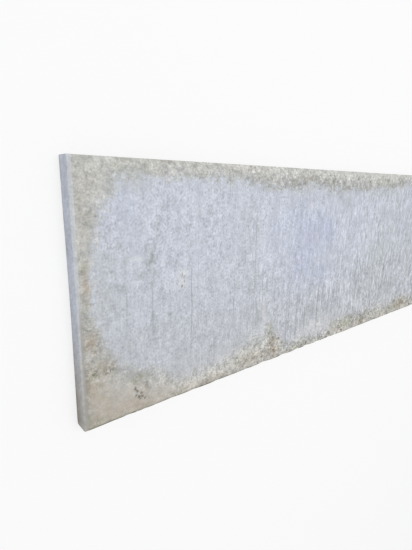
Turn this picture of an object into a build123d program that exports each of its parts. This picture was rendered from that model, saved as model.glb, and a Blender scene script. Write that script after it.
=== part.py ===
from build123d import *
import math
import os

# A plain precast concrete slab, of the long thin kind that stands on edge in a fence or an edging.
# It was cast face down in a tray mould, so a mitred bevel runs all round the moulded face, and the
# sides lean in a little towards that face, which lets the slab drop out of the mould.
# It lies flat here, moulded face up: +X runs along the slab, +Y across it and +Z out of the face.
# The origin is the middle of the underside. All sizes are in millimetres.

# Driving dimensions
length = 2000.0  # of the underside, the slab's largest outline
width = 500.0  # of the underside; this is the slab's height when it stands on edge
thickness = 40.0
side_draft = 0.5  # how far each side leans in on its way from the underside to the face
bevel = 6.0  # leg of the bevel between each side and the moulded face
corner_radius = 2.0  # the four corners are rubbed round, from the underside up to the face
underside_arris_radius = 1.0  # the float and handling rub this arris round

draft_angle = math.degrees(math.atan2(side_draft, thickness))

with BuildPart() as slab:
    # The body rises from the underside's outline and narrows with the mould's draft
    with BuildSketch(Plane.XY):
        Rectangle(length, width)
    extrude(amount=thickness, taper=draft_angle)

    # The strips in the mould's corners leave a bevel round the moulded face, mitred where they meet
    moulded_face = slab.faces().sort_by(Axis.Z)[-1]
    chamfer(moulded_face.edges(), length=bevel)

    # Each corner is an upright edge and the mitre above it
    corners = slab.edges().filter_by(Plane.XY, reverse=True)
    fillet(corners, radius=corner_radius)

    underside = slab.faces().sort_by(Axis.Z)[0]
    fillet(underside.edges(), radius=underside_arris_radius)

slab.part.label = "slab"

os.makedirs("parts", exist_ok=True)
export_step(slab.part, "parts/slab.step")
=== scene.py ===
import math

import bpy
import numpy as np
from mathutils import Matrix, Vector


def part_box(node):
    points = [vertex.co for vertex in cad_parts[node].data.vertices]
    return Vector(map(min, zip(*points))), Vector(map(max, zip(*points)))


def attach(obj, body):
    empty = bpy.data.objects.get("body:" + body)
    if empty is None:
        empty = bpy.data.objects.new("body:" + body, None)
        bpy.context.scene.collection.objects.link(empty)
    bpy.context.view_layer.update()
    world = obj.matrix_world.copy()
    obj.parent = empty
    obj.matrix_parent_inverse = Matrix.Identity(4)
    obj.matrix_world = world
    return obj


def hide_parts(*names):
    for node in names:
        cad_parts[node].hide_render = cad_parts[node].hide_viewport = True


# A weathered precast concrete slab that lies flat, moulded face up. Sizes are in metres, but places and
# lists of marks on the slab are in millimetres, as they are measured on the slab itself: along it from
# its near end, and across it from its foot, the long edge that it stands on in use.

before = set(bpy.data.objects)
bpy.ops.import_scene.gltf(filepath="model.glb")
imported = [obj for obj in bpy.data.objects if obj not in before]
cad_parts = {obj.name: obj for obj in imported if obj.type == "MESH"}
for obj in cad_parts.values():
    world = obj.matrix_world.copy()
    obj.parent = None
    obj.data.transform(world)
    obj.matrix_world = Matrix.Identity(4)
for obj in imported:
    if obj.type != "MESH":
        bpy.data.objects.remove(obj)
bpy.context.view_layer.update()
low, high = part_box("slab")

half_length = high.x
half_width = high.y
thickness = high.z
side_draft = 0.0005
bevel = 0.006
corner_radius = 0.0024
worn_arris_radius = 0.0016
underside_arris_radius = 0.0014
rim_inset = 0.0007  # the face's arris starts about this far inside the face's own outline
rim_breadth = 0.004  # the face beside the rim that wears with it
underside_step = 0.006  # from the underside's outline in to its last ring, and from there to its grid
near_end_hollow = 0.00135  # the near end's lower arris is cast a little hollow between its corners

face_half_length = half_length - side_draft - bevel
face_half_width = half_width - side_draft - bevel


def along(distance):
    """Row X of a place that many millimetres along the slab from its near end."""
    return distance / 1000 - half_length


def across(distance):
    """Row Y of a place that many millimetres across the slab from its foot."""
    return distance / 1000 - half_width


# The grid that the slab's surface is worked out on. Its cells are pairs of a place and the spacing there.

lines_along = 560
lines_across = 128
coarse_step = 4  # the underside keeps every fourth line
cells_along = ((6, 0.7), (11, 2), (160, 2.2), (600, 3.2), (1340, 4.4), (1989, 4.8), (1994, 0.7))
cells_across = ((6, 0.7), (11, 2.6), (100, 3), (250, 4.6), (400, 4.4), (489, 3), (494, 0.7))


def graded_lines(cells, count, half):
    """Places of grid lines from -half to half. Their spacing follows cells, drawn out to that length.

    One over the spacing is added up along the way, and the sum is cut into equal shares.
    """
    places, spacings = np.array(cells).T
    fine = np.linspace(places[0], places[-1], 4001)
    density = 1 / np.interp(fine, places, spacings)
    total = np.concatenate([[0], np.cumsum((density[1:] + density[:-1]) / 2)])
    return np.interp(np.linspace(0, total[-1], count + 1), total, np.linspace(-half, half, len(fine)))


# Rings down the section: 0 is the face inside its rim, and each arris has three
face_arris = (1, 2, 3)
bevel_arris = (4, 5, 6)
underside_arris = (12, 13, 14)
underside_ring = 16


def rim_of(columns, rows):
    """Grid numbers of the outermost points, anticlockwise from the near end's foot corner."""
    wide = columns + 1
    foot = np.arange(columns)
    far = np.arange(rows) * wide + columns
    head = rows * wide + np.arange(columns, 0, -1)
    near = np.arange(rows, 0, -1) * wide
    return np.concatenate([foot, far, head, near])


def unit(vectors):
    """The same directions, one long."""
    return vectors / np.linalg.norm(vectors, axis=-1, keepdims=True)


def rounded_profile():
    """The section from the face's edge down to the underside, as offsets outwards and heights.

    It is the bevel, the leaning side and a short way in along the underside, with an arc of the arris's
    own radius at each of the three turns. Each arc touches both of its straight lines.
    """
    turns = [
        (-bevel, thickness, 0),
        (0, thickness, worn_arris_radius),
        (bevel + side_draft * bevel / thickness, thickness - bevel, worn_arris_radius),
        (bevel + side_draft, 0, underside_arris_radius),
        (bevel + side_draft - underside_step, 0, 0),
    ]
    points = []
    for before, turn, after in zip(turns, turns[1:], turns[2:]):
        corner = np.array(turn[:2])
        back = unit(np.array(before[:2]) - corner)
        ahead = unit(np.array(after[:2]) - corner)
        half_angle = math.acos(float(back @ ahead)) / 2
        reach = turn[2] / math.tan(half_angle)
        centre = corner + unit(back + ahead) * turn[2] / math.sin(half_angle)
        start, end = corner + back * reach - centre, corner + ahead * reach - centre
        sweep = math.pi - 2 * half_angle
        for share in (0, 0.5, 1):
            from_start = math.sin((1 - share) * sweep) / math.sin(sweep)
            from_end = math.sin(share * sweep) / math.sin(sweep)
            points.append(centre + start * from_start + end * from_end)
    side_top, side_foot = points[5], points[6]
    side = [side_top + (side_foot - side_top) * share for share in (0.17, 0.34, 0.5, 0.67, 0.84)]
    return np.array(points[:6] + side + points[6:] + [np.array(turns[-1][:2])])


def rounded_plan(grid_x, grid_y, offset):
    """Points of the face's grid, or of its rim, with the face's outline moved outwards by offset and its
    corners rubbed round, and their outward directions beside the outline.

    Each point near a corner is drawn in onto an arc as far inside the rim's arc as the point is inside
    the rim.
    """
    x = grid_x * (face_half_length + offset) / face_half_length
    y = grid_y * (face_half_width + offset) / face_half_width
    inside = rim_distance(x, y, offset)
    radius = np.maximum(corner_radius - inside, 0)
    away_x = np.maximum(np.abs(x) - (face_half_length + offset - inside - radius), 0)
    away_y = np.maximum(np.abs(y) - (face_half_width + offset - inside - radius), 0)
    reach = np.maximum(np.hypot(away_x, away_y), 1e-9)
    drawn = np.where((away_x > 0) & (away_y > 0), radius / reach, 1)
    outward = np.column_stack([np.sign(x) * away_x, np.sign(y) * away_y])
    plan = np.column_stack([x, y]) - outward * (1 - drawn)[:, None]
    return plan, outward / reach[:, None]


def rim_distance(x, y, offset):
    """How far inside the face's outline, moved outwards by offset, a place lies."""
    return np.minimum(face_half_length + offset - np.abs(x), face_half_width + offset - np.abs(y))


def slab_surface():
    """Every point of the slab's closed surface, its outward normal, the ring it is on and the faces.

    The moulded face is a grid. Rings of its rim's points go down the section, and the underside is a
    grid of every fourth line, which the last ring meets with five triangles to each coarse cell.
    """
    columns, rows = lines_along, lines_across
    x = graded_lines(cells_along, columns, face_half_length)
    y = graded_lines(cells_across, rows, face_half_width)
    grid_x, grid_y = (grid.ravel() for grid in np.meshgrid(x, y))
    rim = rim_of(columns, rows)
    rim_x, rim_y = grid_x[rim], grid_y[rim]
    profile = rounded_profile()
    face_plan = rounded_plan(grid_x, grid_y, profile[0][0])[0]
    face_points = np.column_stack([face_plan, np.full(len(face_plan), thickness)])
    face_normals = np.tile([0.0, 0.0, 1.0], (len(face_points), 1))
    steps = unit(np.gradient(profile, axis=0))
    points, normals, rings = [face_points], [face_normals], [np.zeros(len(face_points), int)]
    for place, (offset, height) in enumerate(profile):
        plan, outward = rounded_plan(rim_x, rim_y, offset)
        normal = np.column_stack([outward * -steps[place, 1], np.full(len(plan), steps[place, 0])])
        if place == 0:
            face_normals[rim] = normal
            rings[0][rim] = 1
            continue
        points.append(np.column_stack([plan, np.full(len(plan), height)]))
        normals.append(normal)
        rings.append(np.full(len(plan), place + 1))
    inset = profile[-1][0] - underside_step
    under_x = x[::coarse_step] * (face_half_length + inset) / face_half_length
    under_y = y[::coarse_step] * (face_half_width + inset) / face_half_width
    under = np.stack(np.meshgrid(under_x, under_y, [0.0]), axis=-1).reshape(-1, 3)
    points.append(under)
    normals.append(np.tile([0.0, 0.0, -1.0], (len(under), 1)))
    rings.append(np.full(len(under), underside_ring))

    count = len(rim)
    first_ring = len(face_points)
    under_start = first_ring + (len(profile) - 1) * count
    faces = grid_faces(columns, rows).tolist()
    upper = rim
    for place in range(len(profile) - 1):
        lower = first_ring + place * count + np.arange(count)
        faces += np.stack([upper, lower, np.roll(lower, -1), np.roll(upper, -1)], axis=1).tolist()
        upper = lower
    coarse = under_start + rim_of(columns // coarse_step, rows // coarse_step)
    coarse_next = np.roll(coarse, -1)
    fine = [np.roll(upper, -step)[::coarse_step] for step in range(coarse_step + 1)]
    middle = coarse_step // 2
    for step in range(coarse_step):
        corner = coarse if step < middle else coarse_next
        faces += np.stack([fine[step], corner, fine[step + 1]], axis=1).tolist()
    faces += np.stack([fine[middle], coarse, coarse_next], axis=1).tolist()
    faces += (under_start + grid_faces(columns // coarse_step, rows // coarse_step)[:, ::-1]).tolist()
    return np.concatenate(points), np.concatenate(normals), np.concatenate(rings), faces


def grid_faces(columns, rows):
    """The four corners of each cell of a grid, anticlockwise seen from above."""
    start = (np.arange(rows)[:, None] * (columns + 1) + np.arange(columns)[None, :]).ravel()
    return np.stack([start, start + 1, start + columns + 2, start + columns + 1], axis=1)


# Uneven relief

noise_boxes = 61  # the noise repeats after this many boxes each way


def lumps(points, size, seed):
    """Smooth noise from -1 to 1. Random values sit on the corners of boxes of that size, and each point
    takes a blend of its box's eight corners, eased by 3t^2 - 2t^3 along each edge."""
    corners = np.random.default_rng(seed).uniform(-1, 1, (noise_boxes, noise_boxes, noise_boxes))
    place = points / np.asarray(size)
    cell = np.floor(place).astype(int)
    share = place - cell
    share = share * share * (3 - 2 * share)
    value = np.zeros(len(points))
    for step in np.ndindex(2, 2, 2):
        weight = np.prod(np.where(np.array(step) == 1, share, 1 - share), axis=1)
        box_x, box_y, box_z = ((cell + step) % noise_boxes).T
        value += weight * corners[box_x, box_y, box_z]
    return value


def rough_lumps(points, size, seed):
    """Three layers of lumps, each half the size and half the height of the one before."""
    size = np.asarray(size, float)
    return sum(lumps(points, size / 2**layer, seed + layer) / 2**layer for layer in range(3))


def ease(value, start, end):
    """0 below start, 1 above end, and 3t^2 - 2t^3 between them."""
    share = np.clip((value - start) / (end - start), 0, 1)
    return share * share * (3 - 2 * share)


def patch(points, at_along, at_across, half_along, half_across):
    """A soft round patch: 1 at its middle, and e^(-d^2) at d of its half sizes from there."""
    gap_x = (points[:, 0] - along(at_along)) * 1000 / half_along
    gap_y = (points[:, 1] - across(at_across)) * 1000 / half_across
    return np.exp(-gap_x**2 - gap_y**2)


def scoop(points, centre, radius, direction):
    """Moves the points that lie inside a ball out of it, straight along direction, and tells how far.

    With b the offset along direction and c the squared distance less the squared radius, a point
    inside the ball has to move by -b + sqrt(b^2 - c).
    """
    offset = points - centre
    depth = offset @ direction
    inside = (offset**2).sum(axis=1) - radius**2
    hit = inside < 0
    moved = np.zeros(len(points))
    moved[hit] = -depth[hit] + np.sqrt(depth[hit] ** 2 - inside[hit])
    points += np.outer(moved, direction)
    return moved


# The bloom is the pale salt film that covers the face inside a darker margin. Its outline is walked
# anticlockwise from the near end's foot, along the slab and across it.
bloom_outline = (
    (104, 106), (120, 98), (142, 91), (165, 81), (190, 63), (225, 50), (280, 50), (335, 54), (385, 66),
    (425, 78), (470, 86), (486, 108), (500, 114), (520, 90), (545, 52), (570, 36), (650, 34), (735, 34),
    (775, 52), (860, 60), (960, 56), (1070, 53), (1120, 44), (1200, 66), (1300, 46), (1450, 60), (1640, 40),
    (1820, 56), (1915, 90), (1955, 160), (1965, 280), (1945, 380), (1890, 440), (1780, 458), (1600, 446),
    (1400, 462), (1170, 462), (1060, 452), (900, 448), (800, 446), (720, 450), (655, 456), (600, 454),
    (565, 444), (520, 452), (470, 450), (425, 460), (330, 464), (240, 466), (165, 465), (125, 465),
    (92, 457), (75, 440), (66, 420), (48, 409), (47, 385), (40, 356), (32, 320), (27, 270), (28, 225),
    (40, 195), (52, 160), (68, 132), (86, 113),
)

# Soft marks on the face. Each is a place along and across the slab, the half sizes along and across it
# at which the mark fades, and an amount.
honeycomb_places = (
    (518, 40, 26, 45, 1), (430, 28, 60, 20, 0.6), (120, 50, 16, 16, 0.3), (1215, 30, 60, 22, 0.6),
    (1560, 20, 80, 20, 0.5),
)
stain_places = {
    "violet": (
        (610, 250, 60, 60, 0.64), (620, 340, 80, 60, 0.75), (720, 330, 50, 60, 0.65),
        (700, 215, 50, 35, 0.55), (500, 340, 30, 80, 0.35), (850, 350, 50, 70, 0.2),
        (1165, 350, 30, 60, 0.3), (92, 410, 40, 40, 0.35), (590, 415, 30, 15, 0.4),
        (1560, 300, 120, 80, 0.4), (565, 385, 34, 20, 0.35),
    ),
    "grey": (
        (1160, 200, 200, 110, 0.55), (940, 140, 100, 80, 0.5), (1120, 360, 120, 80, 0.5),
        (1500, 250, 260, 200, 0.7), (690, 90, 80, 40, 0.25), (118, 140, 40, 40, 0.35),
        (300, 110, 150, 50, 0.4), (410, 300, 25, 120, 0.3), (48, 238, 18, 36, 0.8), (82, 222, 18, 36, 0.6),
        (165, 170, 40, 20, 0.4), (120, 452, 30, 12, 0.35), (46, 262, 20, 60, 0.55), (62, 318, 30, 36, 0.5),
        (1010, 220, 50, 90, 0.5), (1000, 436, 120, 14, 0.7), (810, 106, 40, 18, 0.5),
        (50, 428, 14, 10, 0.5),
    ),
    "damp": (
        (155, 338, 3, 10, 0.7), (151, 322, 4, 11, 0.95), (137, 334, 3, 14, 0.75), (145, 308, 8, 8, 0.85),
        (145, 293, 6, 5, 0.5), (128, 286, 10, 7, 0.75), (155, 284, 6, 8, 0.4), (149, 262, 3, 10, 0.75),
        (149, 202, 3, 14, 0.8), (150, 168, 3, 12, 0.65), (88, 268, 10, 7, 0.65), (74, 272, 4, 5, 0.5),
        (93, 318, 6, 8, 0.4), (84, 347, 4, 5, 0.6), (190, 197, 6, 5, 0.6), (164, 380, 7, 9, 0.55),
        (112, 86, 17, 8, 1), (134, 66, 6, 14, 1), (125, 74, 8, 6, 0.8), (100, 150, 8, 40, 0.2),
        (206, 304, 3, 5, 0.6), (186, 304, 4, 5, 0.5), (172, 255, 5, 6, 0.5), (244, 180, 3, 6, 0.6),
        (374, 82, 10, 9, 0.7), (434, 225, 6, 25, 0.5), (450, 140, 9, 28, 0.6), (412, 465, 7, 10, 0.8),
        (472, 458, 12, 8, 0.7), (665, 120, 26, 30, 0.22), (610, 230, 8, 10, 0.55), (734, 286, 10, 10, 0.4),
        (1060, 112, 30, 24, 0.28), (1105, 110, 22, 20, 0.28), (885, 150, 8, 40, 0.08),
        (850, 452, 40, 12, 0.6), (800, 415, 30, 18, 0.4), (1460, 120, 40, 40, 0.6),
    ),
    "grime": (
        (32, 163, 10, 15, 1), (24, 115, 14, 12, 1), (50, 113, 12, 10, 1), (180, 498, 80, 4, 0.5),
        (16, 400, 16, 90, 0.2), (16, 270, 12, 50, 0.18), (455, 484, 22, 7, 0.45), (690, 474, 50, 8, 0.5),
        (10, 60, 6, 70, 0.45), (66, 118, 10, 14, 0.6), (11, 150, 6, 60, 0.45), (112, 84, 16, 10, 0.55),
        (132, 60, 6, 13, 0.9), (18, 200, 8, 8, 0.6), (498, 80, 12, 22, 0.8), (440, 30, 30, 14, 0.4),
        (660, 18, 20, 10, 1), (570, 460, 34, 10, 0.8), (700, 462, 50, 12, 0.6), (330, 12, 100, 8, 0.5),
        (900, 30, 140, 18, 0.5), (1200, 30, 120, 20, 0.5), (1985, 250, 16, 200, 0.6),
        (1700, 480, 200, 12, 0.3),
    ),
    "soil": (
        (30, 62, 34, 60, 0.62), (22, 178, 16, 26, 0.8), (22, 420, 24, 80, 0.22), (105, 46, 46, 34, 0.46),
        (14, 100, 18, 26, 0.45), (50, 126, 22, 18, 0.5), (260, 490, 220, 14, 0.13), (18, 280, 10, 40, 0.85),
        (90, 18, 110, 22, 0.45), (515, 40, 22, 30, 1), (430, 30, 60, 20, 0.5), (310, 22, 30, 12, 0.4),
        (250, 12, 120, 14, 0.35), (620, 474, 24, 6, 0.6), (1220, 30, 60, 26, 0.7), (950, 18, 50, 14, 0.6),
        (1700, 30, 120, 30, 0.5), (1985, 120, 20, 120, 0.5),
    ),
    "algae": (
        (840, 36, 50, 20, 0.85), (1130, 26, 80, 20, 0.6), (22, 118, 10, 14, 0.8), (16, 310, 6, 12, 0.6),
        (18, 238, 8, 16, 0.5), (22, 210, 8, 10, 0.6), (80, 6, 60, 8, 0.5), (110, 484, 50, 10, 0.55),
        (1020, 466, 50, 14, 0.8), (496, 94, 12, 16, 0.9), (115, 80, 25, 10, 0.7), (22, 16, 20, 12, 0.6),
        (390, 40, 14, 14, 0.5), (620, 18, 70, 14, 0.6), (1480, 474, 120, 20, 0.5), (790, 412, 35, 16, 0.45),
        (1190, 45, 30, 16, 0.7), (240, 475, 120, 10, 0.25), (218, 10, 16, 10, 0.6),
    ),
    "rim": (
        (560, 455, 230, 40, 0.65), (860, 450, 130, 45, 0.85), (1060, 450, 120, 45, 0.35),
        (116, 78, 30, 30, 0.8), (50, 150, 30, 40, 0.4), (60, 430, 50, 40, 0.12), (250, 472, 160, 20, 0.18),
        (1400, 440, 300, 60, 0.8), (860, 50, 120, 30, 0.7), (400, 60, 80, 20, 0.4),
        (1950, 250, 60, 250, 0.5),
    ),
    "thin": (
        (205, 66, 45, 22, 0.45), (290, 66, 55, 22, 0.25), (600, 450, 50, 14, 0.8), (670, 452, 50, 14, 0.2),
        (420, 88, 40, 16, 0.6), (700, 56, 60, 22, 0.7), (120, 450, 30, 12, 0.5), (750, 440, 50, 16, 0.6),
        (1060, 70, 100, 24, 0.7), (1600, 70, 200, 30, 0.7),
    ),
    "pale": (
        (219, 262, 12, 22, 0.7), (224, 277, 8, 5, 0.8), (112, 304, 16, 4, 0.5), (42, 362, 4, 6, 1),
        (62, 432, 6, 4, 1), (52, 438, 3, 5, 0.8), (46, 374, 3, 3, 0.9), (630, 405, 7, 5, 0.9),
        (114, 319, 18, 4, 0.7), (164, 62, 4, 20, 0.7), (172, 50, 3, 14, 0.6), (470, 140, 10, 36, 0.5),
        (700, 64, 60, 16, 0.45), (20, 355, 8, 26, 0.2), (10, 330, 3, 110, 0.25), (45, 460, 22, 14, 0.3),
        (240, 32, 46, 18, 0.5), (305, 32, 40, 18, 0.6), (340, 56, 24, 18, 0.35), (450, 88, 26, 12, 0.6),
        (450, 30, 30, 18, 0.35), (390, 56, 26, 22, 0.5), (512, 45, 20, 25, 0.4), (635, 36, 34, 16, 0.45),
        (725, 36, 40, 16, 0.3), (805, 40, 50, 22, 0.35), (1110, 40, 50, 18, 0.3), (180, 475, 34, 8, 0.55),
        (275, 475, 28, 8, 0.5), (390, 489, 34, 10, 0.65), (330, 486, 26, 10, 0.4), (1650, 300, 20, 30, 0.5),
    ),
    "smooth": (
        (880, 494, 260, 7, 0.9), (55, 50, 60, 42, 1), (150, 25, 60, 20, 0.8), (100, 400, 20, 40, 0.5),
        (140, 452, 30, 12, 0.4), (20, 360, 20, 100, 0.5), (66, 450, 20, 12, 0.6),
    ),
}

# Broad pale runs: a place along the slab, where the run starts and ends across it, its breadth and an
# amount
pale_run_places = (
    (251, 440, 120, 4.5, 0.35), (458, 410, 250, 16, 0.6), (520, 420, 300, 6, 0.55), (545, 390, 290, 6, 0.3),
    (492, 290, 140, 7, 0.45), (553, 280, 150, 6, 0.45), (613, 280, 150, 4.5, 0.45), (648, 160, 50, 5, 0.3),
    (705, 130, 40, 6, 0.35), (810, 420, 250, 6, 0.3), (880, 330, 130, 5, 0.5), (975, 440, 330, 6, 0.35),
    (1180, 420, 260, 8, 0.3), (1420, 400, 180, 8, 0.35),
)

# Thin dark runs: a place along the slab, where the run starts and ends across it, and an amount
thin_run_places = (
    (94, 262, 215, 0.45), (149, 275, 160, 0.35), (244, 290, 125, 0.5), (262, 440, 150, 0.15),
    (366, 270, 140, 0.35), (432, 390, 130, 0.48), (443, 175, 110, 0.55), (462, 260, 110, 0.5),
    (498, 260, 190, 0.3), (569, 190, 60, 0.6), (584, 130, 60, 0.4), (603, 165, 45, 0.65), (639, 130, 50, 1),
    (676, 140, 80, 0.45), (695, 172, 32, 1), (716, 180, 85, 0.6), (733, 120, 70, 0.4), (750, 165, 80, 0.5),
    (768, 140, 80, 0.4), (790, 270, 80, 0.45), (815, 330, 200, 0.35), (850, 150, 90, 0.45),
    (882, 200, 110, 0.28), (905, 200, 130, 0.5), (960, 280, 170, 0.35), (1013, 280, 150, 0.45),
    (1044, 270, 90, 0.75), (1064, 150, 95, 0.6), (1085, 145, 90, 0.8), (1112, 140, 90, 0.65),
    (1150, 130, 75, 0.6), (1330, 240, 110, 0.5), (1610, 330, 120, 0.5), (1760, 300, 90, 0.4),
)

# Dips worn into the foot's arris: a place along the slab, half the dip's span and its depth
foot_dips = (
    (92, 12, 1.1), (196, 16, 1.2), (255, 12, 1.1), (323, 10, 1.2), (402, 12, 0.3), (481, 10, 1.4),
    (562, 14, 2), (622, 12, 1.8), (662, 12, 1.4), (716, 10, 0.9), (778, 10, 1.4), (808, 14, 1.2),
    (1420, 16, 1.4), (1660, 12, 1.6), (1850, 20, 1.2),
)

# Air pits: a place along and across the slab, and the hole's radius
placed_pits = (
    (107, 57, 2.6), (111, 50, 2.2), (108, 42, 2.4), (114, 37, 2.7), (119, 43, 2.2), (122, 36, 2.5),
    (127, 29, 2.2), (117, 31, 1.9), (221, 276, 1.4), (226, 271, 1.1), (220, 263, 1.5), (226, 260, 1.2),
    (220, 250, 1.4), (225, 248, 1.2), (187, 198, 1.1), (192, 197, 0.9), (23, 113, 2.2), (56, 112, 1.8),
    (500, 52, 2.4), (515, 30, 3), (535, 60, 2.6), (548, 22, 2.2), (470, 24, 2.4),
)

# Depths of the relief, in metres
wave_depth = 0.00022
ripple_depth = 0.00008
margin_depth = 0.00022
honeycomb_depth = 0.0026
underside_depth = 0.0004

pit_surroundings = 0.012  # points this near to a pit each way may move
gathering_reach = 0.0055  # points this near to it are drawn together


def depth_inside(points, outline):
    """How far inside a closed outline each point lies, from above; it is negative outside.

    The distance is to the nearest stretch. A point is inside if a line from it along the slab crosses
    the outline an odd number of times.
    """
    corners = np.array([(along(a), across(b)) for a, b in outline])
    nearest = np.full(len(points), np.inf)
    crossings = np.zeros(len(points), int)
    for start, end in zip(corners, np.roll(corners, -1, axis=0)):
        stretch = end - start
        offset = points[:, :2] - start
        share = np.clip(offset @ stretch / (stretch @ stretch), 0, 1)
        nearest = np.minimum(nearest, np.linalg.norm(offset - np.outer(share, stretch), axis=1))
        between = (start[1] > points[:, 1]) != (end[1] > points[:, 1])
        rise = stretch[1] if stretch[1] else 1.0
        meets = start[0] + (points[:, 1] - start[1]) * stretch[0] / rise
        crossings += between & (points[:, 0] < meets)
    return np.where(crossings % 2 == 1, nearest, -nearest)


def near_end_shift(plain):
    """How far along the slab the near end's points are drawn in: most at its lower arris and near the
    middle of its breadth, and not at all on the face or from 30 mm along."""
    middle = np.exp(-(((plain[:, 1] - across(240)) / 0.15) ** 2))
    lower = np.interp(plain[:, 2], (0, thickness - bevel, thickness), (1, 0.35, 0))
    near = 1 - ease(plain[:, 0], along(1), along(30))
    return near_end_hollow * middle * lower * near


def beside_rim(plain):
    """1 at the face's rim and 0 from rim_breadth inside it."""
    return 1 - ease(rim_distance(plain[:, 0], plain[:, 1], -rim_inset), 0, rim_breadth)


def wear_direction(plain, normals, rings):
    """Wear goes in against the normal, but over each of the two upper arrises it goes one way, so that deep
    wear doesn't fold the surface: 22.5 degrees from upright for the face's arris and the face beside it,
    and 22.5 degrees from level for the bevel's."""
    tilt = math.radians(22.5)
    inside = (face_half_length, face_half_width) - np.abs(plain[:, :2])
    lean = np.sign(plain[:, :2]) * (1 - ease(inside, 0, rim_breadth))
    rise = np.where(rings <= face_arris[-1], 1 / math.tan(tilt), math.tan(tilt))
    leaning = unit(np.column_stack([lean, rise]))
    return -np.where(rings[:, None] <= bevel_arris[-1], leaning, normals)


def worn_arrises(plain, rings):
    """How deep the arrises are worn: uneven all round, and most along the foot, which also has dips."""
    on_arris = np.isin(rings, face_arris + bevel_arris + underside_arris)
    arris = np.where(rings == 0, beside_rim(plain), on_arris)
    at_foot = (1 - ease(plain[:, 1] + half_width, 0.004, 0.012)) * (rings < underside_arris[0])
    at_foot *= np.interp(rings, (0, 1, 2, 3, 4), (0.35, 0.35, 0.55, 0.8, 1)) * np.where(rings == 0, arris, 1)
    sharp_head = patch(plain, 0, 500, 110, 100)
    worn = arris * 0.0008 * ease(rough_lumps(plain, 0.022, 16), 0.1, 1.0) * (1 - 0.9 * sharp_head)
    worn += at_foot * 0.0005 * (1 + rough_lumps(plain, (0.04, 0.05, 0.05), 17))
    for place, half_span, depth in foot_dips:
        apart = (plain[:, 0] - along(place)) * 1000 / half_span
        worn += at_foot * depth / 1000 * np.exp(-(apart**2))
    blunt_corner = 0.0006 * patch(plain, 0, 0, 6, 6) * (rings < underside_ring)
    return worn * ease(plain[:, 0], along(20), along(60)) + arris * 0.0003 + blunt_corner


def weather(points, normals, rings):
    """Wears the plain surface, inwards only, and returns the marks that the finish is laid out by."""
    plain = points.copy()
    on_face = (rings == 0) * (1 - beside_rim(plain))
    on_underside = rings == underside_ring
    bloom = depth_inside(plain, bloom_outline)
    bare = ease(-bloom, -0.004, 0.012)
    honeycomb = patches(plain, honeycomb_places) * (rings < underside_arris[0])
    voids = rough_lumps(plain, (0.01, 0.012, 0.01), 14)

    sunk = wave_depth * (1 + rough_lumps(plain, (0.3, 0.16, 0.1), 11))
    sunk += ripple_depth * (1 + rough_lumps(plain, (0.024, 0.03, 0.024), 12))
    sunk += bare * on_face * margin_depth * (1 + rough_lumps(plain, 0.011, 13))
    sunk += honeycomb * honeycomb_depth * ease(voids, -0.05, 0.75)
    sunk += on_underside * underside_depth * (1 + rough_lumps(plain, (0.05, 0.16, 0.05), 15))
    sunk += worn_arrises(plain, rings)
    points += wear_direction(plain, normals, rings) * np.maximum(sunk, 0)[:, None]
    points[:, 0] += near_end_shift(plain)

    pits = dig_pits(points, plain)
    chips = knock_chips(points, normals, plain, rings)
    open_voids = honeycomb * ease(voids, 0.1, 0.8)
    return {
        "bloom": bloom,
        # The pits and open voids, which the finish paints dark as shade in the holes
        "pits": np.clip(pits + 0.7 * open_voids, 0, 1),
        "chips": chips,
        "bevelled": ease(rings, 1, 3) * (1 - ease(rings, 4, 6)),
        "side": ease(rings, 4, 6),
        "underside": ease(rings, underside_arris[0] - 1, underside_arris[-1]),
    }


def gather(points, centre, reach):
    """Draws the grid points round a centre towards it, so that a small hole gets points of its own.

    A point at distance d, within the reach R, moves to R (d / R)^1.7, level with where it was.
    """
    offset = points[:, :2] - centre
    distance = np.linalg.norm(offset, axis=1)
    share = np.clip(distance / reach, 1e-6, 1)
    points[:, :2] = centre + offset * (share ** 0.7)[:, None]


def dig_pits(points, plain):
    """Air pits in the moulded face, each the cap of a ball: a hole r wide and d deep is cut by a ball of
    radius (r^2 + d^2) / 2d. Some are placed where the slab has them, and the rest lie at random where
    the grid is fine enough to hold them."""
    chance = np.random.default_rng(31)
    holes = list(placed_pits)
    for place in range(7):
        holes.append((chance.uniform(20, 620), chance.uniform(20, 480), chance.uniform(0.7, 1.0)))
    marks = np.zeros(len(points))
    down = np.array([0.0, 0.0, -1.0])
    for place_along, place_across, millimetres in holes:
        radius = millimetres / 1000
        depth = radius * 0.8
        ball = (radius**2 + depth**2) / (2 * depth)
        centre = np.array([along(place_along), across(place_across), thickness - 0.0003 + ball - depth])
        near = np.abs(plain[:, :2] - centre[:2]).max(axis=1) < pit_surroundings
        near &= plain[:, 2] > thickness - 0.002
        chosen = points[near]
        gather(chosen, centre[:2], gathering_reach)
        moved = scoop(chosen, centre, ball, down)
        points[near] = chosen
        marks[near] = np.maximum(marks[near], ease(moved, 0.0001, 0.0007))
    return marks


def knock_chips(points, normals, plain, rings):
    """Chips knocked off the arrises, more of them along the foot: balls that cut a little way in."""
    chance = np.random.default_rng(47)
    marks = np.zeros(len(points))
    for edge in (face_arris, bevel_arris, underside_arris):
        chosen = np.flatnonzero(rings == edge[1])
        for chip in range(90):
            spot = chosen[chance.integers(len(chosen))]
            at_foot = plain[spot, 1] < -half_width + 0.02
            depth = chance.uniform(0.0006, 0.0016) * (1.6 if at_foot else 0.8)
            radius = chance.uniform(0.003, 0.011)
            inward = -normals[spot]
            centre = plain[spot] - inward * (radius - depth)
            moved = scoop(points, centre, radius, inward)
            marks = np.maximum(marks, np.clip(moved / depth, 0, 1))
    return marks


def add_object(name, data):
    """A new object in the scene."""
    added = bpy.data.objects.new(name, data)
    bpy.context.scene.collection.objects.link(added)
    return added


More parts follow.
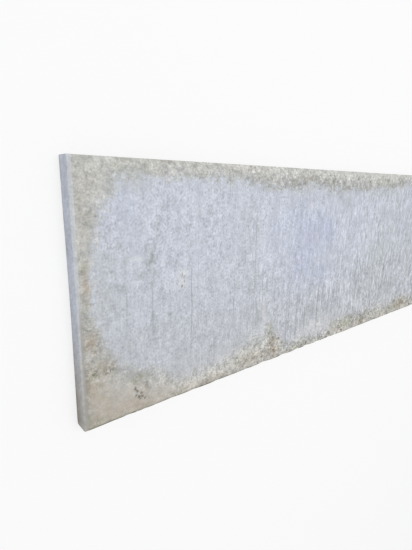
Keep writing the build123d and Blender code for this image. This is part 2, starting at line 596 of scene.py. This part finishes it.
def make_slab():
    """One closed mesh of the weathered slab, with its marks kept as attributes of its points."""
    points, normals, rings, faces = slab_surface()
    marks = weather(points, normals, rings)
    marks.update(stains(points))
    mesh = bpy.data.meshes.new("weathered_slab")
    mesh.from_pydata(points.tolist(), [], faces)
    mesh.polygons.foreach_set("use_smooth", np.ones(len(mesh.polygons), bool))
    for name, values in marks.items():
        mesh.attributes.new(name, "FLOAT", "POINT").data.foreach_set("value", values.astype(np.float32))
    mesh.update()
    return add_object("weathered_slab", mesh)


def patches(points, places):
    """The sum of several soft patches, no more than 1, each with its own amount."""
    return np.clip(sum(amount * patch(points, *place) for *place, amount in places), 0, 1)


def wavering(points):
    """How far a run of water strays from its straight line: a slow waver and a quick one."""
    slow = lumps(points, (0.05, 0.045, 0.05), 21)
    quick = lumps(points, (0.02, 0.014, 0.02), 22)
    return 0.0016 * slow + 0.0006 * quick


def run_fade(points, top, bottom):
    """1 along a run, fading in over its top 30 mm and out over its bottom 60 mm."""
    height = (points[:, 1] + half_width) * 1000
    return ease(height, bottom - 30, bottom + 30) * (1 - ease(height, top - 15, top + 15))


def broad_runs(points, places):
    """Broad runs of water straight across the slab, each e^(-(d / w)^2) at a distance d from its line."""
    waver = wavering(points)
    total = np.zeros(len(points))
    for at_along, top, bottom, breadth, amount in places:
        apart = (points[:, 0] - along(at_along) + waver) * 1000 / breadth
        total = np.maximum(total, amount * np.exp(-(apart**2)) * run_fade(points, top, bottom))
    return total


def thin_runs(points, places):
    """Runs thinner than the grid, as the offset to the nearest one's line and that run's amount.

    The finish draws each line from its offset. The amount is gone at 7 mm, before the next run's.
    """
    waver = wavering(points)
    nearest = np.full(len(points), 1.0)
    amounts = np.zeros(len(points))
    for at_along, top, bottom, amount in places:
        offset = points[:, 0] - along(at_along) + waver
        closer = np.abs(offset) < np.abs(nearest)
        here = amount * run_fade(points, top, bottom) * (1 - ease(np.abs(offset), 0.0045, 0.007))
        nearest = np.where(closer, offset, nearest)
        amounts = np.where(closer, here, amounts)
    return nearest, amounts


def stains(points):
    """The marks that colour the face, as amounts from 0 to 1, and the thin runs' offsets."""
    marks = {name: patches(points, places) for name, places in stain_places.items()}
    marks["pale_runs"] = broad_runs(points, pale_run_places)
    marks["run_offset"], marks["run_amount"] = thin_runs(points, thin_run_places)
    return marks


# Finish

def shade(red, green, blue):
    """A colour from its 0 to 255 values, as linear light with full cover."""
    parts = [value / 255 for value in (red, green, blue)]
    light = [p / 12.92 if p <= 0.04045 else ((p + 0.055) / 1.055) ** 2.4 for p in parts]
    return (*light, 1)


grime_shade = shade(138, 134, 124)
# Painted shadow: the dark colour of the thin line along the foot's bevel and the face's edge at the foot
foot_painted_shadow = shade(108, 100, 88)


def empty_tree(owner):
    """The node tree of a material or of the world, emptied."""
    owner.use_nodes = True
    owner.node_tree.nodes.clear()
    return owner.node_tree


def put(tree, kind, values=(), **settings):
    """A node of that kind. Its inputs, by number or name, are joined to sockets or set to plain values."""
    node = tree.nodes.new(kind)
    for name, value in settings.items():
        setattr(node, name, value)
    pairs = values.items() if isinstance(values, dict) else enumerate(values)
    for key, value in pairs:
        if isinstance(value, bpy.types.NodeSocket):
            tree.links.new(value, node.inputs[key])
        else:
            node.inputs[key].default_value = value
    return node


def calc(tree, operation, *values):
    """A Math node's result."""
    return put(tree, "ShaderNodeMath", values, operation=operation).outputs[0]


def mark(tree, name):
    """The amount of one of the mesh's marks."""
    return put(tree, "ShaderNodeAttribute", attribute_name=name).outputs["Fac"]


def spread(tree, value, start, end, first=0, last=1):
    """Takes a value from start to end over to first to last, eased at both ends."""
    node = put(tree, "ShaderNodeMapRange", (value, start, end, first, last), interpolation_type="SMOOTHSTEP")
    return node.outputs[0]


def mixed(tree, amount, first, second, blend="MIX"):
    """Two colours mixed by an amount."""
    values = {0: amount, 6: first, 7: second}
    return put(tree, "ShaderNodeMix", values, data_type="RGBA", blend_type=blend).outputs[2]


def cloud(tree, where, size, detail=3, roughness=0.55):
    """Cloudy noise from 0 to 1 with blotches of about that size."""
    values = {"Vector": where, "Scale": 1 / size, "Detail": detail, "Roughness": roughness}
    return put(tree, "ShaderNodeTexNoise", values).outputs[0]


def stretched(tree, where, *scale):
    """Places with each axis multiplied by its own scale."""
    return put(tree, "ShaderNodeMapping", {"Vector": where, "Scale": scale}).outputs[0]


def new_group(name, takes, *gives):
    """An empty node group that takes a place and named numbers, and gives named numbers: its tree, what it
    takes and what it gives."""
    tree = bpy.data.node_groups.new(name, "ShaderNodeTree")
    tree.interface.new_socket("Where", in_out="INPUT", socket_type="NodeSocketVector")
    for label, value in takes.items():
        socket = tree.interface.new_socket(label, in_out="INPUT", socket_type="NodeSocketFloat")
        socket.default_value = value
    for label in gives:
        tree.interface.new_socket(label, in_out="OUTPUT", socket_type="NodeSocketFloat")
    return tree, tree.nodes.new("NodeGroupInput").outputs, tree.nodes.new("NodeGroupOutput").inputs


def use(tree, group, **values):
    """A group's outputs, with its inputs given by name."""
    return put(tree, "ShaderNodeGroup", values, node_tree=group).outputs


def mottle_group():
    """Blotches of three sizes, as a brightness about 1. The coarser ones are 3 and 9 times the fine ones."""
    sizes = {"Size": 0.004, "Fine": 0.2, "Middling": 0.2, "Coarse": 0.1}
    tree, takes, gives = new_group("mottle", sizes, "Brightness")
    brightness = 1
    for share, depth in ((1, "Fine"), (1 / 3, "Middling"), (1 / 9, "Coarse")):
        scale = calc(tree, "DIVIDE", share, takes["Size"])
        noise = put(tree, "ShaderNodeTexNoise", {"Vector": takes["Where"], "Scale": scale, "Detail": 1.5})
        about_zero = calc(tree, "SUBTRACT", noise.outputs[0], 0.5)
        brightness = calc(tree, "MULTIPLY_ADD", about_zero, takes[depth], brightness)
    tree.links.new(brightness, gives["Brightness"])
    return tree


def streak_group():
    """Thin marks that run across the slab, the way that water ran down it, as an amount about 0."""
    tree, takes, gives = new_group("run marks", {"Breadth": 0.005, "Length": 0.08}, "Amount")
    parts = put(tree, "ShaderNodeSeparateXYZ", [takes["Where"]]).outputs
    column = calc(tree, "DIVIDE", parts[0], takes["Breadth"])
    run = calc(tree, "DIVIDE", parts[1], takes["Length"])
    where = put(tree, "ShaderNodeCombineXYZ", [column, run, 0]).outputs[0]
    noise = put(tree, "ShaderNodeTexNoise", {"Vector": where, "Scale": 1, "Detail": 2.5}).outputs[0]
    tree.links.new(calc(tree, "SUBTRACT", noise, 0.5), gives["Amount"])
    return tree


def grain_group():
    """Sand grains and pinholes with painted shade, as a brightness about 1 and a height in millimetres."""
    tree, takes, gives = new_group("sand grain", {}, "Brightness", "Height")
    grain = cloud(tree, takes["Where"], 0.0016, 2)
    holes = put(tree, "ShaderNodeTexVoronoi", {"Vector": takes["Where"], "Scale": 110, "Randomness": 1})
    chosen = put(tree, "ShaderNodeSeparateColor", [holes.outputs["Color"]]).outputs[0]
    wide = spread(tree, chosen, 0.55, 1, 0, 0.22)
    hole = calc(tree, "LESS_THAN", holes.outputs["Distance"], wide)
    tone = calc(tree, "MULTIPLY_ADD", calc(tree, "SUBTRACT", grain, 0.5), 0.22, 1)
    # The pinholes are painted 10 percent darker, as shade in them
    tree.links.new(calc(tree, "MULTIPLY_ADD", hole, -0.1, tone), gives["Brightness"])
    tree.links.new(calc(tree, "MULTIPLY_ADD", hole, -0.5, grain), gives["Height"])
    return tree


def scaled(tree, colour, *brightnesses):
    """A colour made brighter or darker by each of several amounts about 1."""
    for brightness in brightnesses:
        values = {0: colour, "Scale": brightness}
        colour = put(tree, "ShaderNodeVectorMath", values, operation="SCALE").outputs[0]
    return colour


def times(tree, *amounts):
    """Two amounts or more, multiplied together."""
    total = amounts[0]
    for amount in amounts[1:]:
        total = calc(tree, "MULTIPLY", total, amount)
    return total


def layered(tree, colour, *layers):
    """A colour with others laid over it, each by its own amount."""
    for amount, tint in layers:
        colour = mixed(tree, amount, colour, tint)
    return colour


def uneven(tree, brightness, strength):
    """A brightness about 1 whose distance from 1 is multiplied by a strength."""
    return calc(tree, "MULTIPLY_ADD", calc(tree, "SUBTRACT", brightness, 1), strength, 1)


def patched(tree, where, size, low, high):
    """Ragged patches of about that size, from 0 to 1."""
    return spread(tree, cloud(tree, where, size, 4, 0.7), low, high)


def bare_concrete(tree, where, mottle, along_place, across_place):
    """Sandy concrete without bloom: pale beige, browner towards the foot, with soil and algae in patches."""
    outermost = times(tree, spread(tree, across_place, 470, 492), patched(tree, where, 0.02, 0.3, 0.56),
                      spread(tree, along_place, 80, 450, 0.25, 0.65))
    foot = times(tree, spread(tree, across_place, 90, 8), patched(tree, where, 0.022, 0.26, 0.56),
                 spread(tree, along_place, 100, 300, 0.6, 0.3))
    even = spread(tree, mark(tree, "smooth"), 0, 1, 0, 0.8)
    blotches = calc(tree, "MAXIMUM", patched(tree, where, 0.014, 0.26, 0.54), even)
    soil = calc(tree, "MAXIMUM", times(tree, mark(tree, "soil"), blotches), foot)
    grime, algae, pale = (
        times(tree, mark(tree, name), patched(tree, where, size, low, high)) for name, size, low, high in
        (("grime", 0.009, 0.38, 0.58), ("algae", 0.009, 0.38, 0.62), ("pale", 0.006, 0.3, 0.55)))

    # Specks of sand and of dirt, larger and stronger along the slab
    rough = spread(tree, mark(tree, "smooth"), 0, 1, 1, 0.35)
    far = spread(tree, along_place, 150, 700)
    fine = use(tree, mottle, Where=where, Size=0.004, Fine=0.85, Middling=0.75, Coarse=0.2)[0]
    large = use(tree, mottle, Where=where, Size=0.0075, Fine=0.8, Middling=0.3, Coarse=0)[0]
    tone = calc(tree, "ADD", fine, times(tree, calc(tree, "SUBTRACT", large, 1), far))
    gritty = times(tree, spread(tree, along_place, 300, 550), spread(tree, across_place, 130, 60))
    strength = times(tree, rough, spread(tree, along_place, 80, 300, 1, 1.25),
                     calc(tree, "MULTIPLY_ADD", gritty, 0.25, 1))
    speckled = times(tree, spread(tree, along_place, 100, 600, 0.25, 0.85), rough)
    specks = times(tree, spread(tree, cloud(tree, where, 0.0085, 3, 0.75), 0.43, 0.33), speckled)
    glints = times(tree, spread(tree, cloud(tree, where, 0.0058, 3, 0.75), 0.57, 0.67), speckled)
    colour = layered(
        tree, shade(199, 199, 196), (patched(tree, where, 0.026, 0.36, 0.64), shade(183, 184, 181)),
        (outermost, shade(206, 205, 201)), (soil, shade(174, 161, 144)), (grime, grime_shade),
        (algae, shade(158, 161, 138)), (pale, shade(216, 212, 204)), (specks, shade(140, 136, 124)),
        (glints, shade(218, 215, 207)))
    return scaled(tree, colour, uneven(tree, tone, strength))


def bloom_film(tree, where, mottle, streak, along_place, across_place):
    """The pale film: bluish white, greyer in places, drawn out in runs that get stronger along the slab."""
    low_down = spread(tree, across_place, 330, 50)
    soft_cloud = cloud(tree, stretched(tree, where, 1 / 0.11, 1 / 0.045, 1 / 0.05), 1, 1, 0.5)
    tinge = mixed(tree, spread(tree, soft_cloud, 0.35, 0.65), shade(184, 190, 212), shade(187, 191, 209))
    violet = times(tree, mark(tree, "violet"), spread(tree, soft_cloud, 0.25, 0.55, 0.6, 1))
    colour = layered(
        tree, shade(196, 200, 210), (low_down, shade(190, 192, 198)),
        (times(tree, mark(tree, "grey"), 0.8), shade(184, 188, 192)), (violet, tinge))

    # Blotches, nearly round near the end and drawn out across the slab farther along it
    near_drawn, far_drawn = stretched(tree, where, 1, 0.75, 1), stretched(tree, where, 1, 0.4, 1)
    worn_low = times(tree, low_down, spread(tree, along_place, 250, 750))
    strength = times(tree, spread(tree, cloud(tree, where, 0.055, 2), 0.38, 0.62, 0.75, 1.05),
                     spread(tree, mark(tree, "smooth"), 0, 1, 1, 0.35),
                     calc(tree, "MULTIPLY_ADD", worn_low, 0.55, 0.95))
    far = spread(tree, along_place, 350, 1000)
    fine = use(tree, mottle, Where=near_drawn, Size=0.004, Fine=0.8, Middling=0.6, Coarse=0.15)[0]
    large = use(tree, mottle, Where=far_drawn, Size=0.0048, Fine=0.9, Middling=0.5, Coarse=0)[0]
    tone = uneven(tree, fine, spread(tree, far, 0, 1, 1, 0.55))
    tone = calc(tree, "ADD", tone, times(tree, calc(tree, "SUBTRACT", large, 1), far))
    streaky = times(tree, spread(tree, along_place, 100, 1000, 0.35, 1.4),
                    spread(tree, low_down, 0, 1, 0.85, 1.35))
    fine_runs, wide_runs = (
        times(tree, use(tree, streak, Where=where, Breadth=breadth, Length=length)[0], streaky)
        for breadth, length in ((0.0045, 0.04), (0.014, 0.16)))
    drawn = 1
    for amount, weight in ((fine_runs, 0.62), (wide_runs, 0.36), (mark(tree, "pale_runs"), 0.11)):
        drawn = calc(tree, "MULTIPLY_ADD", amount, weight, drawn)
    colour = scaled(tree, colour, uneven(tree, tone, strength), drawn)

    spots = times(tree, spread(tree, cloud(tree, near_drawn, 0.008, 2, 0.6), 0.42, 0.3, 0, 0.5), strength)
    broken = patched(tree, where, 0.006, 0.34, 0.58)
    share = calc(tree, "DIVIDE", mark(tree, "run_offset"), 0.0018)
    line = calc(tree, "EXPONENT", times(tree, share, share, -1))
    run = times(tree, line, mark(tree, "run_amount"), spread(tree, broken, 0, 0.8, 0.5, 1.25))
    broken_damp = times(tree, mark(tree, "damp"), spread(tree, broken, 0, 1, 0.25, 1))
    return layered(
        tree, colour, (spots, shade(164, 167, 174)),
        (calc(tree, "MAXIMUM", broken_damp, run), shade(148, 153, 152)),
        (times(tree, mark(tree, "pale"), broken), shade(224, 223, 223)))


def bloom_cover(tree, where, streak, along_place):
    """How far the film covers the face, and how near a place outside it lies.

    The film's edge wanders, is drawn out in runs, and breaks up into specks over its last 20 mm.
    """
    wander = calc(tree, "SUBTRACT", cloud(tree, where, 0.03, 5, 0.75), 0.5)
    reach = calc(tree, "MULTIPLY_ADD", wander, 0.06, mark(tree, "bloom"))
    drawn = use(tree, streak, Where=where, Breadth=0.008, Length=0.03)[0]
    reach = calc(tree, "MULTIPLY_ADD", drawn, spread(tree, along_place, 150, 450, 0.018, 0.032), reach)
    speck = calc(tree, "SUBTRACT", cloud(tree, where, 0.0065, 3, 0.7), 0.5)
    solid = put(tree, "ShaderNodeMapRange", (reach, -0.012, 0.014, 0, 1)).outputs[0]
    cover = spread(tree, calc(tree, "MULTIPLY_ADD", speck, 2.2, solid), 0.15, 0.85)
    thin = times(tree, mark(tree, "thin"), patched(tree, where, 0.01, 0.3, 0.6))
    return times(tree, cover, calc(tree, "MULTIPLY_ADD", thin, -0.75, 1)), reach


def margin_colour(tree, where, bare, reach):
    """Bare concrete as the face has it: faded next to the film, with a darker, speckled band in places."""
    faded = put(tree, "ShaderNodeHueSaturation", {"Saturation": 0.3, "Value": 0.97, "Color": bare}).outputs[0]
    faded = mixed(tree, 1, faded, (0.97, 0.99, 1, 1), "MULTIPLY")
    unsoiled = calc(tree, "SUBTRACT", 1, mark(tree, "soil"))
    greyer = times(tree, spread(tree, reach, -0.03, -0.004, 0, 0.9), unsoiled)
    rim = times(tree, 0.75, spread(tree, reach, -0.04, -0.008), mark(tree, "rim"),
                patched(tree, where, 0.013, 0.42, 0.58))
    browner = patched(tree, where, 0.05, 0.42, 0.58)
    rim_colour = mixed(tree, browner, shade(156, 157, 155), shade(156, 152, 142))
    return layered(tree, bare, (greyer, faded), (rim, rim_colour))


def edge_colours(tree, where, mottle, bare, is_end, low_end, across_place, height):
    """The colours of the bevel and of the side below it, which are greyer at the slab's two ends."""
    # Near the foot the ends are darker towards the underside and lighter towards the face
    end_darker_below = mixed(tree, spread(tree, height, 0.004, 0.034), shade(156, 149, 140), shade(177, 174, 169))
    end = mixed(tree, spread(tree, across_place, 260, 10), shade(194, 199, 210), end_darker_below)
    blotches = use(tree, mottle, Where=where, Size=0.004, Fine=0.5, Middling=0.4, Coarse=0.35)[0]
    side = mixed(tree, is_end, bare, scaled(tree, end, blotches))
    rubbed = mixed(tree, spread(tree, across_place, 240, 20), shade(203, 205, 207), shade(181, 178, 173))
    blotches = use(tree, mottle, Where=where, Size=0.004, Fine=0.4, Middling=0.4, Coarse=0.2)[0]
    upper_part = times(tree, low_end, spread(tree, height, thickness - 0.0045, thickness - 0.0015, 0, 0.8))
    # A broken line of painted shadow on the bevel along the foot
    foot_bevel_shadow = times(tree, 0.9, spread(tree, across_place, 9, 6), patched(tree, where, 0.02, 0.25, 0.5))
    rubbed = mixed(tree, upper_part, scaled(tree, rubbed, blotches), shade(168, 164, 158))
    return mixed(tree, is_end, mixed(tree, foot_bevel_shadow, bare, foot_painted_shadow), rubbed), side


def concrete_material():
    """Weathered concrete: a bare beige margin, the pale bloom inside it, and greyer sides."""
    material = bpy.data.materials.new("weathered_concrete")
    tree = empty_tree(material)
    mottle, streak, grain = mottle_group(), streak_group(), grain_group()
    where = put(tree, "ShaderNodeTexCoord").outputs["Object"]
    row_x, row_y, height = put(tree, "ShaderNodeSeparateXYZ", [where]).outputs
    along_place = calc(tree, "MULTIPLY_ADD", row_x, 1000, half_length * 1000)
    across_place = calc(tree, "MULTIPLY_ADD", row_y, 1000, half_width * 1000)
    from_end = calc(tree, "SUBTRACT", half_length, calc(tree, "ABSOLUTE", row_x))
    is_end = spread(tree, from_end, 0.01, 0.007)
    low_end = spread(tree, across_place, 280, 200)
    grains = use(tree, grain, Where=where)

    bare = bare_concrete(tree, where, mottle, along_place, across_place)
    film = bloom_film(tree, where, mottle, streak, along_place, across_place)
    cover, reach = bloom_cover(tree, where, streak, along_place)
    beside_end = times(tree, spread(tree, from_end, 0.013, 0.008, 0, 0.35), low_end)
    # A broken line of painted shadow on the face's edge at the foot, weak, and gone beyond about 420 mm along
    foot_shadow_line = times(tree, spread(tree, across_place, 12, 7.5), patched(tree, where, 0.03, 0.2, 0.45),
                      spread(tree, along_place, 420, 360, 0, 0.3))
    edge, side = edge_colours(tree, where, mottle, bare, is_end, low_end, across_place, height)
    blotches = use(tree, mottle, Where=where, Size=0.02, Fine=0.2, Middling=0.2, Coarse=0.2)[0]
    colour = layered(
        tree, margin_colour(tree, where, bare, reach),
        (beside_end, grime_shade), (cover, film), (foot_shadow_line, foot_painted_shadow),
        (mark(tree, "bevelled"), edge), (mark(tree, "side"), side),
        (mark(tree, "underside"), scaled(tree, bare, blotches)),
        # Painted shade: the pits and open voids are darkened as if in shadow
        (times(tree, mark(tree, "pits"), 0.8), shade(104, 99, 90)),
        (times(tree, mark(tree, "chips"), 0.4), shade(178, 175, 168)))
    colour = scaled(tree, colour, grains["Brightness"])

    relief = calc(tree, "MULTIPLY_ADD", cloud(tree, where, 0.006), 0.3, times(tree, grains["Height"], 0.25))
    bump = put(tree, "ShaderNodeBump", {"Height": relief, "Distance": 0.001, "Strength": 0.8}).outputs[0]
    rough = spread(tree, cloud(tree, where, 0.01, 2), 0.3, 0.7, 0.86, 0.96)
    values = {"Base Color": colour, "Roughness": rough, "Specular IOR Level": 0.25, "Normal": bump}
    shader = put(tree, "ShaderNodeBsdfPrincipled", values).outputs[0]
    put(tree, "ShaderNodeOutputMaterial", {"Surface": shader})
    return material


# Stage

def make_floor():
    """A wide pale floor. Seen by the camera it is close to white, and it keeps a faint shadow."""
    mesh = bpy.data.meshes.new("floor")
    reach = 30
    corners = [(-reach, -reach, 0), (reach, -reach, 0), (reach, reach, 0), (-reach, reach, 0)]
    mesh.from_pydata(corners, [], [(0, 1, 2, 3)])
    floor = add_object("floor", mesh)
    material = bpy.data.materials.new("pale_floor")
    tree = empty_tree(material)
    paint = put(tree, "ShaderNodeBsdfDiffuse", {"Color": (0.86, 0.86, 0.86, 1)}).outputs[0]
    glow = put(tree, "ShaderNodeEmission", {"Color": (1, 1, 1, 1), "Strength": 1}).outputs[0]
    seen = put(tree, "ShaderNodeLightPath").outputs["Is Camera Ray"]
    surface = put(tree, "ShaderNodeMixShader", (times(tree, seen, 0.72), paint, glow)).outputs[0]
    put(tree, "ShaderNodeOutputMaterial", {"Surface": surface})
    mesh.materials.append(material)


def light_scene():
    """An even pale sky, and one broad soft lamp high over the slab."""
    world = bpy.data.worlds.new("sky")
    bpy.context.scene.world = world
    tree = empty_tree(world)
    sky = put(tree, "ShaderNodeBackground", {"Color": (0.97, 0.985, 1, 1), "Strength": 0.7}).outputs[0]
    put(tree, "ShaderNodeOutputWorld", {"Surface": sky})
    lamp_data = bpy.data.lights.new("soft_lamp", "AREA")
    lamp_data.shape = "DISK"
    lamp_data.size = 3
    lamp_data.energy = 75
    lamp_data.color = (1, 0.985, 0.96)
    lamp = add_object("soft_lamp", lamp_data)
    lamp.location = (-0.2, 1.2, 4.2)
    aim = Vector((-0.3, 0, 0)) - lamp.location
    lamp.rotation_mode = "QUATERNION"
    lamp.rotation_quaternion = aim.to_track_quat("-Z", "Y")


def place_camera():
    """Looks down on the near end. Its right is level with the slab's own breadth, but for a small roll."""
    eye = Vector((-1.216, 0.2002, 0.6625))
    target = Vector((-0.7179, 0.0162, thickness))
    roll = math.radians(0.727)
    ahead = (target - eye).normalized()
    right = ahead.cross(Vector((0, 1, 0))).normalized()
    axes = Matrix((right, right.cross(ahead), -ahead)).transposed() @ Matrix.Rotation(roll, 3, "Z")
    camera_data = bpy.data.cameras.new("camera")
    camera_data.sensor_width = 36
    camera_data.lens = 24.94
    camera = add_object("camera", camera_data)
    camera.matrix_world = Matrix.Translation(eye) @ axes.to_4x4()
    bpy.context.scene.camera = camera


bpy.context.scene.view_settings.view_transform = "Standard"
place_camera()
light_scene()
make_floor()

slab = make_slab()
slab.data.materials.append(concrete_material())
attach(slab, "root")
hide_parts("slab")
